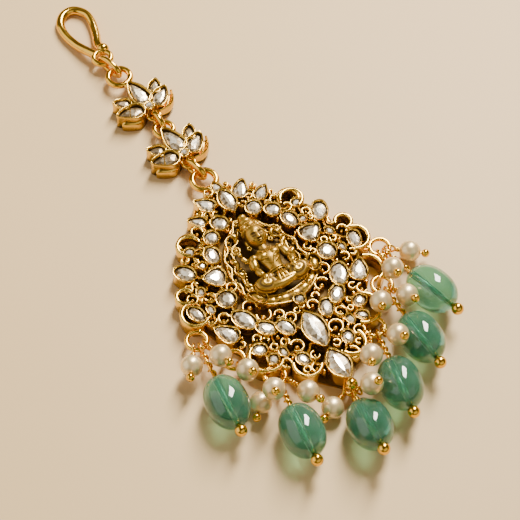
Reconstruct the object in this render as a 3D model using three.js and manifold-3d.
// Maang tikka: a forehead jewel of cast antique gold set with flat foil-backed stones.
// A wire hook, three oval links and two flower links carry a shield-shaped pendant with a seated
// deity in relief. Green oval beads and pearls on headed pins hang from loops along its lower edge.
// Millimetres. The jewel lies on its back: X across, Y along it towards the hook, Z up.
// The tables are laid out from the lower tip of the pendant; the last lines move the origin.
import * as THREE from 'three';
import { mergeVertices } from 'three/addons/utils/BufferGeometryUtils.js';
import Module from 'manifold-3d';

const wasm = await Module();
wasm.setup();

// Fits
const STONE_PLAY = 0.12;      // between a loose stone and its collet
const LINK_PLAY = 0.4;        // between a link and a ring that it hangs in
const EYE_PLAY = 0.25;        // between a pin's eye and the loop that it hangs in
const BORE_PLAY = 0.2;        // between a pin and the drilled bead round it
const BEAD_STOP = 0.12;       // between a bead and the pin's ball or wrapped neck
const FUSE = 0.3;             // how far soldered pieces run into each other

// Cast walls and collets
const PLATE = 1.1;            // back plate
const OUTER_RIM = 3.4;        // rim height of the outer scallops
const INNER_RIM = 4.1;        // rim height of the inner ring of stones
const MAIN_RIM = 4.6;         // rim height of the three marquise collets
const FLOWER_RIM = 3.6;       // rim height of the flower petals
const RIM = 0.42;             // width of a bezel's bright rim
const FLARE = 0.1;            // how much wider a collet is at its foot
const SINK = 0.3;             // stone edge below its rim
const CROWN = 0.35;           // stone table above its edge
const TABLE = 0.58;           // table width as a share of the stone
const SEAT = 1.2;             // depth of the collets that hold loose stones
const COLLET_SIDES = { round: 8, oval: 8, pear: 8, marquise: 10 };
const PEAR = { taper: 0.42, width: 0.95 };  // how far a pear narrows to its point, and its width
const MARQUISE_POINT = 0.7;   // how sharply a marquise narrows to its ends

// Wires and rings: centre-line radius and wire thickness
const HOOK_WIRE = 1.9;
const HOOK_BALL = 2.7;
const EYE = { radius: 1.8, wire: 1.25, height: 2.2 };
const LINK = { wire: 1.2, rise: 1.5 };
const RING_HEIGHT = 2.2;
const TOP_RINGS = {
  upper: { at: [-3.6, 85.9], radius: 2.3, wire: 1.3 },
  lower: { at: [-1.9, 69.0], radius: 1.9, wire: 1.1 },
  pendant: { at: [-0.9, 53.7], radius: 2.4, wire: 1.3 },
};
const FLOWER_LOOP = { drop: 1.75, radius: 1.3, wire: 0.7 };
const EDGE_LOOP = { radius: 1.9, wire: 0.9, height: 2.4 };
const TIP_LOOP = { radius: 1.2, wire: 0.7, height: 1.4 };
const TIP_BALL = { at: [-0.2, -0.6, 3.9], diameter: 2.4 };
const SOLDER = 1.1;           // thickness of the short rods that solder a loop to its piece

// Beads, pearls and their pins
// fullness: 2 is an ellipse, above 2 the ends are blunter
const BEAD = { diameter: 8, length: 10.8, fullness: 2.2, sides: 12, steps: 6 };
const PEARL = { diameter: 4.2, length: 4.2, fullness: 2, sides: 10, steps: 4 };
const BEAD_PIN = { wire: 0.6, ball: 2.3, eye: 1.12, eyeWire: 0.5, neck: 1.0, sides: 8 };
const PEARL_PIN = { wire: 0.4, ball: 1.6, eye: 1.05, eyeWire: 0.42, neck: 0.7, sides: 6 };
const EYE_TURN = { from: 30, to: 340, steps: 5 };   // a pin's bent eye, degrees
const HEAD_ARC = [40, 90, 140];                     // where a pin's ball is cut, degrees from its foot

// How finely round things are cut
const SIDES = { wire: 6, fineWire: 5, ring: 10, ball: 10, mass: 8, limb: 6 };
const BANDS = { ball: 6, mass: 4 };

const GOLD = new THREE.MeshStandardMaterial({ color: 0xb98a34, roughness: 0.35, metalness: 1 });
const BRIGHT_GOLD = new THREE.MeshStandardMaterial({ color: 0xd9a441, roughness: 0.25, metalness: 1 });
const STONE = new THREE.MeshStandardMaterial({ color: 0xd8d4cc, roughness: 0.08, metalness: 0.2 });
const GREEN = new THREE.MeshStandardMaterial({ color: 0x4f9c7f, roughness: 0.12, metalness: 0 });
const CREAM = new THREE.MeshStandardMaterial({ color: 0xf0e4cf, roughness: 0.25, metalness: 0 });

// Centre line of the hook: a long teardrop that starts at its free end and closes in the eye.
const HOOK_LINE = [
  { x: -3.0, y: 94.8, z: 1.8 },
  { x: -3.1, y: 97.2, z: 1.25 },
  { x: -2.1, y: 100.4, z: 1.0 },
  { x: -1.4, y: 103.7, z: 0.97 },
  { x: -1.6, y: 106.6, z: 0.97 },
  { x: -3.5, y: 108.7, z: 0.97 },
  { x: -5.9, y: 108.4, z: 0.97 },
  { x: -7.6, y: 106.3, z: 0.97 },
  { x: -8.0, y: 103.3, z: 0.97 },
  { x: -7.4, y: 99.8, z: 1.1 },
  { x: -6.4, y: 96.6, z: 1.7 },
  { x: -5.2, y: 93.8, z: 2.2 },
];
const HOOK_EYE = [-4.3, 92.4];
const HOOK_STEPS = 19;

// Collets of the pendant. side: b = both sides, mirrored; r = right side only; c = on the axis.
// size: width and length over the bezel; lean: degrees that the length turns from +Y to -X.
const TOP_COLLETS = [
  { side: 'c', kind: 'pear', at: [0, 50.4], size: [2.4, 3.0], lean: 0 },
  { side: 'b', kind: 'pear', at: [4.0, 47.8], size: [3.4, 4.7], lean: -38 },
  { side: 'b', kind: 'pear', at: [7.2, 45.0], size: [2.8, 4.1], lean: -52 },
];
const INNER_COLLETS = [
  { side: 'b', kind: 'oval', at: [3.8, 42.1], size: [3.6, 3.8], lean: -20 },
  { side: 'b', kind: 'oval', at: [6.8, 39.9], size: [3.3, 3.6], lean: 30 },
  { side: 'b', kind: 'oval', at: [8.6, 36.3], size: [3.3, 4.4], lean: 12 },
  { side: 'b', kind: 'pear', at: [10.6, 31.7], size: [4.4, 4.7], lean: -70 },
  { side: 'b', kind: 'oval', at: [11.0, 26.4], size: [4.0, 4.3], lean: 0 },
  { side: 'b', kind: 'oval', at: [10.3, 20.8], size: [3.8, 5.6], lean: -25 },
  { side: 'b', kind: 'oval', at: [7.6, 17.2], size: [3.3, 4.4], lean: -42 },
  { side: 'b', kind: 'oval', at: [4.4, 15.6], size: [3.2, 4.4], lean: -28 },
];
const OUTER_COLLETS = [
  { side: 'b', kind: 'round', at: [11.9, 39.4], size: [2.4, 2.4], lean: 0 },
  { side: 'b', kind: 'oval', at: [14.9, 35.6], size: [3.6, 4.8], lean: -30 },
  { side: 'b', kind: 'oval', at: [17.3, 26.6], size: [3.0, 4.4], lean: -14 },
  { side: 'b', kind: 'pear', at: [14.4, 20.2], size: [3.7, 5.4], lean: -32 },
  { side: 'b', kind: 'oval', at: [10.8, 14.2], size: [2.9, 3.4], lean: -60 },
  { side: 'b', kind: 'oval', at: [9.6, 11.2], size: [2.4, 2.9], lean: 40 },
  { side: 'b', kind: 'oval', at: [4.8, 8.5], size: [2.8, 3.4], lean: -20 },
];
const MAIN_COLLETS = {
  top_marquise: { at: [0, 45.8], size: [3.7, 6.4] },
  main_marquise: { at: [0, 12.4], size: [4.9, 8.7] },
  tip_marquise: { at: [0, 4.0], size: [4.8, 7.2] },
};

// Open scallop walls round the edge: an arc of wall from one angle to the other, degrees from +X.
const CURLS = [
  { side: 'b', at: [11.4, 40.6], radius: 2.5, from: -75, to: 165 },
  { side: 'b', at: [17.4, 30.9], radius: 1.9, from: -100, to: 170 },
  { side: 'b', at: [17.5, 26.6], radius: 2.9, from: -120, to: 80 },
  { side: 'r', at: [15.6, 19.3], radius: 3.4, from: -70, to: 75 },
  { side: 'b', at: [10.4, 12.3], radius: 3.5, from: -130, to: 60 },
  { side: 'b', at: [4.7, 7.2], radius: 2.9, from: -150, to: 30 },
];
const LEAF_TOP = 0.55;        // a leaf's top as a share of its foot
const CURL_WALL = 0.7;
const CURL_STEPS = 5;

// Openings pierced through the plate.
const PIERCINGS = [
  { side: 'b', at: [10.9, 41.4], diameter: 1.9 },
  { side: 'b', at: [17.4, 31.1], diameter: 2.0 },
  { side: 'b', at: [12.9, 33.1], diameter: 1.3 },
  { side: 'b', at: [12.8, 23.2], diameter: 1.3 },
  { side: 'b', at: [5.9, 5.8], diameter: 1.4 },
];

// The plate's edge, from its top point down the right side to its tip.
const EDGE = [
  { x: 0.9, y: 51.0 }, { x: 5.4, y: 49.0 }, { x: 9.2, y: 44.8 }, { x: 15.6, y: 36.8 },
  { x: 18.2, y: 27.4 }, { x: 16.0, y: 20.4 }, { x: 12.4, y: 12.8 }, { x: 6.4, y: 6.4 }, { x: 1.0, y: 1.0 },
];

// Seated deity in relief, as rounded masses: crossed legs, waist, shoulders, head and crown.
const BODY = [
  { at: [0, 25.4, 2.9], half: [5.4, 2.1, 2.2] },
  { at: [0, 29.0, 3.2], half: [2.5, 3.8, 2.7] },
  { at: [0, 31.3, 3.4], half: [3.5, 1.5, 2.3] },
  { at: [0, 35.1, 3.9], half: [2.1, 2.6, 3.0] },
  { at: [0, 38.9, 4.1], half: [1.8, 2.7, 1.8] },
];
// Shins, upper arms, forearms and raised rear hands.
const LIMBS = [
  { from: [3.4, 25.6, 4.1], to: [-1.6, 24.2, 4.5], radius: 1.25, side: 'b' },
  { from: [3.1, 31.4, 4.1], to: [4.3, 28.2, 4.1], radius: 0.95, side: 'b' },
  { from: [4.3, 28.2, 4.1], to: [3.9, 26.2, 5.2], radius: 0.75, side: 'b' },
  { from: [2.9, 31.4, 3.5], to: [5.0, 33.6, 3.6], radius: 0.8, side: 'b' },
];
const ARCH = [
  { x: 7.2, y: 25.4 }, { x: 7.3, y: 31.8 }, { x: 5.4, y: 37.0 }, { x: 0, y: 41.4 },
];
const ARCH_WIRE = { radius: 0.6, height: 1.4 };
// Lotus petals under the figure, on part of an ellipse.
const SEAT_PETALS = {
  count: 5, centre: [0, 26.4], radii: [6.1, 4.4], from: 200, to: 340, size: [2.9, 3.2], rim: 3.5,
};
const BOSS = { at: [0, 19.6], diameter: 2.8, height: 3.6 };

// Loops soldered along the lower edge, and the one under the tip.
const LOOPS = {
  left_upper: [-19.8, 21.9],
  left_middle: [-15.7, 15.0],
  left_lower: [-10.9, 8.4],
  right_lower: [10.3, 8.1],
  right_middle: [16.5, 15.2],
  right_upper: [20.7, 22.7],
  tip: [0, -0.3],
};

// Where the wider loops are soldered to the pendant's walls.
const ROOTS = {
  left_upper: [-17.6, 24.2],
  left_middle: [-13.2, 13.7],
  left_lower: [-9.8, 9.6],
  right_lower: [9.8, 9.6],
  right_middle: [13.2, 13.7],
  right_upper: [17.6, 24.2],
};

// Beads and pearls: the loop that each hangs from, its centre, and how many degrees its pin's eye
// sits round the loop from the shortest way.
const BEADS = [
  { loop: 'left_upper', at: [-21.5, 7.3, 4.1], round: 0 },
  { loop: 'left_lower', at: [-12.7, -4.3, 4.1], round: 0 },
  { loop: 'tip', at: [-1.7, -9.2, 4.3], round: 0 },
  { loop: 'right_lower', at: [7.5, -4.9, 4.1], round: 0 },
  { loop: 'right_middle', at: [16.0, 1.3, 4.1], round: 0 },
  { loop: 'right_upper', at: [23.5, 9.0, 4.1], round: 0 },
];
const PEARLS = [
  { loop: 'left_upper', at: [-23.4, 17.1, 3.7], round: -10 },
  { loop: 'left_upper', at: [-18.1, 15.7, 5.0], round: 20 },
  { loop: 'left_middle', at: [-15.6, 10.2, 6.1], round: 0 },
  { loop: 'left_lower', at: [-13.7, 4.0, 7.2], round: -20 },
  { loop: 'left_lower', at: [-15.8, 5.0, 2.2], round: -25 },
  { loop: 'left_lower', at: [-7.8, 1.9, 4.1], round: 20 },
  { loop: 'tip', at: [-5.1, -2.3, 2.2], round: -20 },
  { loop: 'tip', at: [1.8, -3.9, 7.6], round: 20 },
  { loop: 'right_lower', at: [4.9, 1.2, 7.4], round: -22 },
  { loop: 'right_lower', at: [11.2, 2.2, 7.8], round: 22 },
  { loop: 'right_upper', at: [25.3, 19.1, 2.3], round: 0 },
  { loop: 'right_upper', at: [18.0, 14.6, 8.0], round: -18 },
  { loop: 'right_middle', at: [12.9, 10.4, 6.2], round: -15 },
  { loop: 'right_middle', at: [17.9, 9.2, 6.2], round: 24 },
];

// Petals of a flower link, from its centre.
const FLOWERS = {
  upper: { at: [-2.0, 75.2] },
  lower: { at: [-1.5, 61.0] },
};
const PETALS = [
  { kind: 'pear', at: [-4.5, 3.5], size: [3.0, 4.0], lean: 55, rim: 3.2 },
  { kind: 'pear', at: [3.5, 4.5], size: [2.9, 4.0], lean: -32, rim: 3.2 },
  { kind: 'pear', at: [-4.06, 0.33], size: [3.9, 6.2], lean: 78, rim: FLOWER_RIM },
  { kind: 'pear', at: [3.1, 1.3], size: [3.8, 5.8], lean: -52, rim: FLOWER_RIM },
  { kind: 'round', at: [0, 0], size: [2.2, 2.2], lean: 0, rim: FLOWER_RIM },
];
const TOP_PETAL = { at: [-0.4, 4.2], size: [4.2, 7.1], lean: 9, solder: [-0.4, 6.2] };
const LEAVES = [
  { at: [-4.25, -0.75], size: [3.0, 5.0], lean: 87, rim: 2.35 },
  { at: [3.75, 0.25], size: [2.8, 4.9], lean: -59, rim: 2.35 },
];

const jewel = new THREE.Group();
const layout = new THREE.Group();
jewel.add(layout);

const radians = THREE.MathUtils.degToRad;
const vector = (x, y, z) => new THREE.Vector3(x, y, z);
const UP = vector(0, 0, 1);

// A triangle mesh as a solid that can be joined and cut.
function solidOf(geometry) {
  let bare = geometry.clone();
  bare.deleteAttribute('normal');
  bare.deleteAttribute('uv');
  bare = mergeVertices(bare, 1e-4);
  const vertProperties = new Float32Array(bare.attributes.position.array);
  const triVerts = new Uint32Array(bare.index.array);
  return new wasm.Manifold(new wasm.Mesh({ numProp: 3, vertProperties, triVerts }));
}

function geometryOf(solid) {
  const mesh = solid.getMesh();
  const geometry = new THREE.BufferGeometry();
  geometry.setAttribute('position', new THREE.BufferAttribute(mesh.vertProperties, 3));
  geometry.setIndex(new THREE.BufferAttribute(mesh.triVerts, 1));
  geometry.computeVertexNormals();
  return geometry;
}

function join(geometries) {
  return geometries.map(solidOf).reduce((whole, next) => whole.add(next));
}

function addMesh(name, geometry, material) {
  const mesh = new THREE.Mesh(geometry, material.clone());
  mesh.name = name;
  layout.add(mesh);
  return mesh;
}

// Rings of equal point counts, stacked upwards and closed by a flat cap at each end.
function skin(rings) {
  const sides = rings[0].length;
  const positions = rings.flat().flatMap((p) => [p.x, p.y, p.z]);
  const index = [];
  for (let ring = 0; ring + 1 < rings.length; ring += 1) {
    for (let i = 0; i < sides; i += 1) {
      const a = ring * sides + i;
      const b = ring * sides + ((i + 1) % sides);
      index.push(a, b, b + sides, a, b + sides, a + sides);
    }
  }
  const last = (rings.length - 1) * sides;
  for (let i = 1; i + 1 < sides; i += 1) {
    index.push(0, i + 1, i, last, last + i, last + i + 1);
  }
  const geometry = new THREE.BufferGeometry();
  geometry.setAttribute('position', new THREE.Float32BufferAttribute(positions, 3));
  geometry.setIndex(index);
  return geometry;
}

// Unit outlines, point at +Y: width and length run from -1 to 1.
const OUTLINES = {
  round: (t) => [Math.cos(t), Math.sin(t)],
  oval: (t) => [Math.cos(t), Math.sin(t)],
  pear: (t) => [Math.cos(t) * (1 - PEAR.taper * Math.sin(t)) * PEAR.width, Math.sin(t)],
  marquise: (t) => [Math.cos(t) * Math.abs(Math.cos(t)) ** MARQUISE_POINT, Math.sin(t)],
};

// One level of a collet or stone: its outline grown or shrunk by a set width all round.
function outlineRing(row, grow, z, share = 1) {
  const sides = COLLET_SIDES[row.kind];
  const turn = radians(row.lean ?? 0);
  const points = [];
  for (let i = 0; i < sides; i += 1) {
    const [u, v] = OUTLINES[row.kind](((i + 0.5 * (sides % 4 ? 1 : 0)) / sides) * Math.PI * 2);
    const x = u * (row.size[0] / 2 + grow) * share;
    const y = v * (row.size[1] / 2 + grow) * share;
    const turned = vector(x, y, z).applyAxisAngle(UP, turn);
    points.push(turned.add(vector(row.at[0], row.at[1], 0)));
  }
  return points;
}

// A bezel with its stone: a tapered wall, a flat rim, and a stone cut with a table and a ring of facets.
function setStone(row) {
  return skin([
    outlineRing(row, FLARE, PLATE - FUSE),
    outlineRing(row, 0, row.rim),
    outlineRing(row, -RIM, row.rim),
    outlineRing(row, -RIM, row.rim + CROWN, TABLE),
  ]);
}

// An empty collet for a loose stone.
function emptyCollet(row) {
  return skin([
    outlineRing(row, FLARE, PLATE - FUSE),
    outlineRing(row, 0, row.rim),
    outlineRing(row, -RIM, row.rim),
    outlineRing(row, -RIM, row.rim - SEAT),
  ]);
}

function looseStone(row) {
  const grow = -RIM - STONE_PLAY;
  return skin([
    outlineRing(row, grow, row.rim - SEAT + STONE_PLAY),
    outlineRing(row, grow, row.rim - SINK),
    outlineRing(row, grow, row.rim - SINK + CROWN, TABLE),
  ]);
}

// A solid leaf or petal without a stone.
function leaf(row) {
  return skin([outlineRing(row, 0, PLATE - FUSE), outlineRing(row, 0, row.rim, LEAF_TOP)]);
}

// A wire along points in or near one plane, with the plane's normal given; closed makes a ring.
// Its thickness is one number, or one for each point.
function wire(points, thickness, sides, normal, closed = false) {
  const count = Math.round(sides);
  const rings = points.map((point, i) => {
    const before = points[closed ? (i + points.length - 1) % points.length : Math.max(i - 1, 0)];
    const after = points[closed ? (i + 1) % points.length : Math.min(i + 1, points.length - 1)];
    const along = after.clone().sub(before).normalize();
    const aside = normal.clone().cross(along).normalize();
    const rise = along.clone().cross(aside);
    const half = (thickness[i] ?? thickness) / 2;
    return Array.from({ length: count }, (_, k) => {
      const angle = ((k + 0.5) / count) * Math.PI * 2;
      return point.clone()
        .addScaledVector(aside, Math.cos(angle) * half)
        .addScaledVector(rise, Math.sin(angle) * half);
    });
  });
  if (!closed) return skin(rings);
  const geometry = skin([...rings, rings[0]]);
  const capCorners = (count - 2) * 2 * 3;
  geometry.setIndex([...geometry.index.array].slice(0, -capCorners));
  return geometry;
}

// An oval ring of wire: half sizes along two directions from its centre.
function ring(centre, first, second, thickness, steps = SIDES.ring, sides = SIDES.wire) {
  const points = Array.from({ length: steps }, (_, i) => {
    const angle = (i / steps) * Math.PI * 2;
    return centre.clone().addScaledVector(first, Math.cos(angle)).addScaledVector(second, Math.sin(angle));
  });
  return wire(points, thickness, sides, first.clone().cross(second).normalize(), true);
}

function flatRing(at, radius, thickness, height) {
  const centre = vector(at[0], at[1], height);
  return ring(centre, vector(0, radius, 0), vector(-radius, 0, 0), thickness, SIDES.ring, SIDES.fineWire);
}

// A rounded mass.
function blob(row) {
  return new THREE.SphereGeometry(1, SIDES.mass, BANDS.mass).scale(...row.half).translate(...row.at);
}

function ball(at, diameter) {
  return new THREE.SphereGeometry(diameter / 2, SIDES.ball, BANDS.ball).translate(...at);
}

// A straight rod with flat ends between two points.
function rod(from, to, diameter, sides = SIDES.wire) {
  const span = to.clone().sub(from);
  const turn = new THREE.Quaternion().setFromUnitVectors(vector(0, 1, 0), span.clone().normalize());
  const middle = from.clone().addScaledVector(span, 0.5);
  return new THREE.CylinderGeometry(diameter / 2, diameter / 2, span.length(), sides)
    .applyQuaternion(turn)
    .translate(middle.x, middle.y, middle.z);
}

function limb(row) {
  const from = vector(...row.from);
  const to = vector(...row.to);
  const span = to.clone().sub(from);
  const turn = new THREE.Quaternion().setFromUnitVectors(vector(0, 1, 0), span.clone().normalize());
  const middle = from.addScaledVector(span, 0.5);
  return new THREE.CapsuleGeometry(row.radius, span.length(), 1, SIDES.limb)
    .applyQuaternion(turn)
    .translate(middle.x, middle.y, middle.z);
}

// A table's row on the other side of the jewel's axis.
const across = (at) => [-at[0], ...at.slice(1)];
const otherSide = (row) => ({ ...row, at: across(row.at), lean: -(row.lean ?? 0) });
const otherCurl = (row) => ({ ...row, at: across(row.at), from: 180 - row.to, to: 180 - row.from });
const otherLimb = (row) => ({ ...row, from: across(row.from), to: across(row.to) });

function bothSides(rows, mirrored = otherSide) {
  return rows.flatMap((row) => (row.side === 'b' ? [row, mirrored(row)] : [row]));
}

// A short rod from a flat ring's wire to the piece that it is soldered to.
function solder(ringAt, root, radius, height) {
  const end = vector(...root, height);
  const centre = vector(...ringAt, height);
  const start = end.clone().sub(centre).setLength(radius).add(centre);
  return rod(start, end.add(end.clone().sub(start).setLength(FUSE)), SOLDER);
}

const loopSize = (name) => (name === 'tip' ? TIP_LOOP : EDGE_LOOP);

// A slab with the outline of one side's edge points and their mirror image.
function slab(edge, thickness) {
  const right = edge.map((p) => new THREE.Vector2(p.x, p.y));
  const left = edge.map((p) => new THREE.Vector2(-p.x, p.y)).reverse();
  const shape = new THREE.Shape([...right, ...left]);
  return new THREE.ExtrudeGeometry(shape, { depth: thickness, bevelEnabled: false });
}

function curl(row) {
  const arc = (radius) => Array.from({ length: CURL_STEPS + 1 }, (_, i) => {
    const angle = radians(row.from + ((row.to - row.from) * i) / CURL_STEPS);
    return new THREE.Vector2(row.at[0] + radius * Math.cos(angle), row.at[1] + radius * Math.sin(angle));
  });
  const shape = new THREE.Shape([...arc(row.radius), ...arc(row.radius - CURL_WALL).reverse()]);
  return new THREE.ExtrudeGeometry(shape, { depth: OUTER_RIM, bevelEnabled: false });
}

function drill(at, diameter, height) {
  return new THREE.CylinderGeometry(diameter / 2, diameter / 2, height * 3, SIDES.wire)
    .rotateX(Math.PI / 2)
    .translate(at[0], at[1], 0);
}

const withRim = (rows, rim) => rows.map((row) => ({ ...row, rim }));

// Pendant
function mainCollet(name) {
  return { ...MAIN_COLLETS[name], kind: 'marquise', lean: 0, rim: MAIN_RIM };
}

function seatPetals() {
  const { count, centre, radii, from, to, size, rim } = SEAT_PETALS;
  return Array.from({ length: count }, (_, i) => {
    const angle = from + ((to - from) * i) / (count - 1);
    const at = [
      centre[0] + radii[0] * Math.cos(radians(angle)),
      centre[1] + radii[1] * Math.sin(radians(angle)),
    ];
    return leaf({ kind: 'oval', at, size, lean: angle - 90, rim });
  });
}

function pendantFrame() {
  const plate = join([slab(EDGE, PLATE), ...bothSides(CURLS, otherCurl).map(curl)]);
  const holes = join(bothSides(PIERCINGS).map((row) => drill(row.at, row.diameter, OUTER_RIM)));
  const collets = [
    ...bothSides(withRim(TOP_COLLETS, OUTER_RIM)),
    ...bothSides(withRim(OUTER_COLLETS, OUTER_RIM)),
    ...bothSides(withRim(INNER_COLLETS, INNER_RIM)),
  ].map(setStone);
  const marquises = Object.keys(MAIN_COLLETS).map((name) => emptyCollet(mainCollet(name)));
  const archSide = ARCH.map((p) => vector(p.x, p.y, ARCH_WIRE.height));
  const archOther = ARCH.slice(0, -1).reverse().map((p) => vector(-p.x, p.y, ARCH_WIRE.height));
  const arch = wire([...archSide, ...archOther], ARCH_WIRE.radius * 2, SIDES.fineWire, UP);
  const relief = [
    ...BODY.map(blob),
    ...bothSides(LIMBS, otherLimb).map(limb),
    ...seatPetals(),
    arch,
    ball([...BOSS.at, BOSS.height - BOSS.diameter / 2], BOSS.diameter),
  ];
  const loops = Object.entries(LOOPS).map(([name, at]) => {
    const size = loopSize(name);
    return flatRing(at, size.radius, size.wire, size.height);
  });
  for (const [name, root] of Object.entries(ROOTS)) {
    loops.push(solder(LOOPS[name], root, EDGE_LOOP.radius, EDGE_LOOP.height));
  }
  const top = TOP_RINGS.pendant;
  loops.push(flatRing(top.at, top.radius, top.wire, RING_HEIGHT));
  loops.push(ball(TIP_BALL.at, TIP_BALL.diameter));
  return plate.subtract(holes).add(join([...collets, ...marquises, ...loops]))
    .subtract(join(Object.keys(MAIN_COLLETS).map((name) => clearance(mainCollet(name)))))
    .add(join(relief));
}

// The space inside a loose stone's collet, so that no neighbour's wall reaches into it.
function clearance(row) {
  return skin([outlineRing(row, -RIM, row.rim - SEAT), outlineRing(row, -RIM, row.rim + SEAT)]);
}

addMesh('pendant_frame', geometryOf(pendantFrame()), GOLD);
for (const name of Object.keys(MAIN_COLLETS)) {
  addMesh(`${name}_stone`, looseStone(mainCollet(name)), STONE);
}

// Flower links
const offset = (at, centre) => [at[0] + centre[0], at[1] + centre[1]];
const moved = (row, centre) => ({ ...row, at: offset(row.at, centre) });

function topPetal(centre) {
  return { ...moved(TOP_PETAL, centre), kind: 'pear', rim: FLOWER_RIM };
}

function flower(centre, topRing) {
  const petals = PETALS.map((row) => setStone(moved(row, centre)));
  const leaves = LEAVES.map((row) => leaf({ ...moved(row, centre), kind: 'pear' }));
  const loopAt = offset([0, -FLOWER_LOOP.drop], centre);
  const whole = join([
    ...petals, ...leaves,
    emptyCollet(topPetal(centre)),
    flatRing(topRing.at, topRing.radius, topRing.wire, RING_HEIGHT),
    solder(topRing.at, offset(TOP_PETAL.solder, centre), topRing.radius, RING_HEIGHT),
    flatRing(loopAt, FLOWER_LOOP.radius, FLOWER_LOOP.wire, RING_HEIGHT),
  ]);
  return whole.subtract(solidOf(clearance(topPetal(centre))));
}

for (const [name, { at }] of Object.entries(FLOWERS)) {
  addMesh(`${name}_flower`, geometryOf(flower(at, TOP_RINGS[name])), GOLD);
  addMesh(`${name}_flower_stone`, looseStone(topPetal(at)), STONE);
}

// Hook
function hook() {
  const curve = new THREE.CatmullRomCurve3(HOOK_LINE.map((p) => vector(p.x, p.y, p.z)));
  const line = wire(curve.getPoints(HOOK_STEPS), HOOK_WIRE, SIDES.wire, UP);
  const eye = flatRing(HOOK_EYE, EYE.radius, EYE.wire, EYE.height);
  const start = HOOK_LINE[0];
  return join([line, eye, ball([start.x, start.y, start.z], HOOK_BALL)]);
}

addMesh('hook', geometryOf(hook()), BRIGHT_GOLD);

// Links: an upright oval round the wire of the ring above and the wire of the ring below.
function link(upper, lower) {
  const up = vector(upper.at[0] - lower.at[0], upper.at[1] - lower.at[1], 0).normalize();
  const end = (held, way) => vector(...held.at, RING_HEIGHT)
    .addScaledVector(up, way * (held.wire / 2 + LINK_PLAY + LINK.wire / 2));
  const [top, bottom] = [end(upper, 1), end(lower, -1)];
  const middle = top.clone().add(bottom).multiplyScalar(0.5);
  return ring(middle, top.clone().sub(middle), vector(0, 0, LINK.rise), LINK.wire);
}

const bottomOf = (at, radius, thickness) => ({ at: [at[0], at[1] - radius], wire: thickness });
const topOf = ({ at, radius, wire: thickness }) => ({ at: [at[0], at[1] + radius], wire: thickness });
function flowerLoop({ at }) {
  return bottomOf(offset([0, -FLOWER_LOOP.drop], at), FLOWER_LOOP.radius, FLOWER_LOOP.wire);
}

const hookEye = bottomOf(HOOK_EYE, EYE.radius, EYE.wire);
addMesh('hook_link', link(hookEye, topOf(TOP_RINGS.upper)), BRIGHT_GOLD);
addMesh('middle_link', link(flowerLoop(FLOWERS.upper), topOf(TOP_RINGS.lower)), BRIGHT_GOLD);
addMesh('pendant_link', link(flowerLoop(FLOWERS.lower), topOf(TOP_RINGS.pendant)), BRIGHT_GOLD);

// Drops: a headed pin through a bead, its eye round the wire of a loop.
function hang(row) {
  const size = loopSize(row.loop);
  const centre = vector(...LOOPS[row.loop], size.height);
  const bead = vector(...row.at);
  const outward = bead.clone().sub(centre).setZ(0).normalize().applyAxisAngle(UP, radians(row.round));
  const anchor = centre.addScaledVector(outward, size.radius);
  const along = bead.clone().sub(anchor).normalize();
  return { anchor, along, bead, loopWire: size.wire };
}

// One wire: bent round the loop into an eye, wrapped as a neck, through the bead and into a ball.
// Distances run along the pin from the loop's wire.
const EYE_SAG = Math.cos(radians((EYE_TURN.to - EYE_TURN.from) / EYE_TURN.steps / 2));

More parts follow.
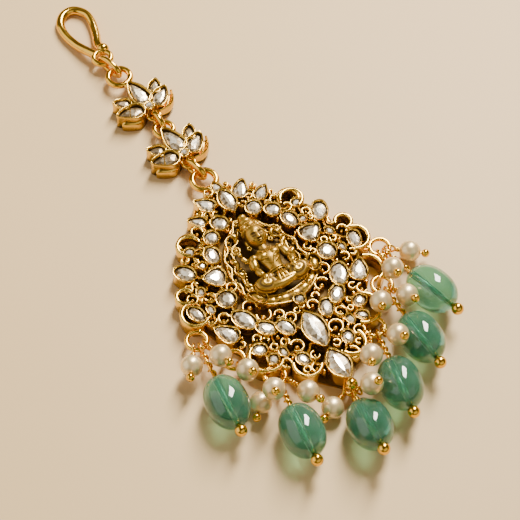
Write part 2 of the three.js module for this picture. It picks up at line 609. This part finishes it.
function pin(hung, half, sizes) {
  const { anchor, along, bead, loopWire } = hung;
  const eyeAt = sizes.eye * EYE_SAG - sizes.eyeWire / 2 - loopWire / 2 - EYE_PLAY;
  const beadAt = bead.distanceTo(anchor);
  const neckAt = eyeAt + sizes.eye + sizes.eyeWire;
  const headAt = beadAt + half + BEAD_STOP + sizes.ball / 2;
  const side = along.clone().cross(UP).normalize();
  const rise = side.clone().cross(along).normalize();
  const stops = [];
  for (let i = 0; i <= EYE_TURN.steps; i += 1) {
    const angle = radians(EYE_TURN.from + ((EYE_TURN.to - EYE_TURN.from) * i) / EYE_TURN.steps);
    stops.push([eyeAt + sizes.eye * Math.cos(angle), sizes.eye * Math.sin(angle), sizes.eyeWire]);
  }
  stops.push([neckAt, 0, sizes.neck], [beadAt - half - BEAD_STOP, 0, sizes.neck]);
  stops.push([beadAt - half, 0, sizes.wire], [beadAt + half, 0, sizes.wire]);
  for (const turn of HEAD_ARC) {
    const reach = headAt - Math.cos(radians(turn)) * sizes.ball / 2;
    stops.push([reach, 0, Math.sin(radians(turn)) * sizes.ball]);
  }
  const points = stops.map(([reach, up]) => (
    anchor.clone().addScaledVector(along, reach).addScaledVector(rise, up)
  ));
  return wire(points, stops.map((stop) => stop[2]), sizes.sides, side);
}

// A drilled bead as a turned solid along +Y.
function drilledBead({ diameter, length, fullness, sides, steps }, bore) {
  const reach = Math.acos((bore / diameter) ** (fullness / 2));
  const profile = [];
  for (let i = 0; i <= steps; i += 1) {
    const angle = reach * ((2 * i) / steps - 1);
    const r = (diameter / 2) * Math.cos(angle) ** (2 / fullness);
    const y = (length / 2) * Math.sign(angle) * Math.abs(Math.sin(angle)) ** (2 / fullness);
    profile.push(new THREE.Vector2(r, y));
  }
  profile.push(profile[0].clone());
  return new THREE.LatheGeometry(profile, sides);
}

function hangAll(rows, beadName, pinName, size, pinSizes, material) {
  rows.forEach((row, i) => {
    const hung = hang(row);
    const bead = drilledBead(size, pinSizes.wire + 2 * BORE_PLAY);
    const mesh = addMesh(`${beadName}_${i + 1}`, bead, material);
    mesh.position.copy(hung.bead);
    mesh.quaternion.setFromUnitVectors(vector(0, 1, 0), hung.along);
    addMesh(`${pinName}_${i + 1}`, pin(hung, size.length / 2, pinSizes), BRIGHT_GOLD);
  });
}

hangAll(BEADS, 'green_bead', 'bead_pin', BEAD, BEAD_PIN, GREEN);
hangAll(PEARLS, 'pearl', 'pearl_pin', PEARL, PEARL_PIN, CREAM);

// The origin is the middle of the bounding box, on the surface that the jewel lies on.
const box = new THREE.Box3().setFromObject(layout, true);
layout.position.set(-(box.min.x + box.max.x) / 2, -(box.min.y + box.max.y) / 2, -box.min.z);

export default jewel;
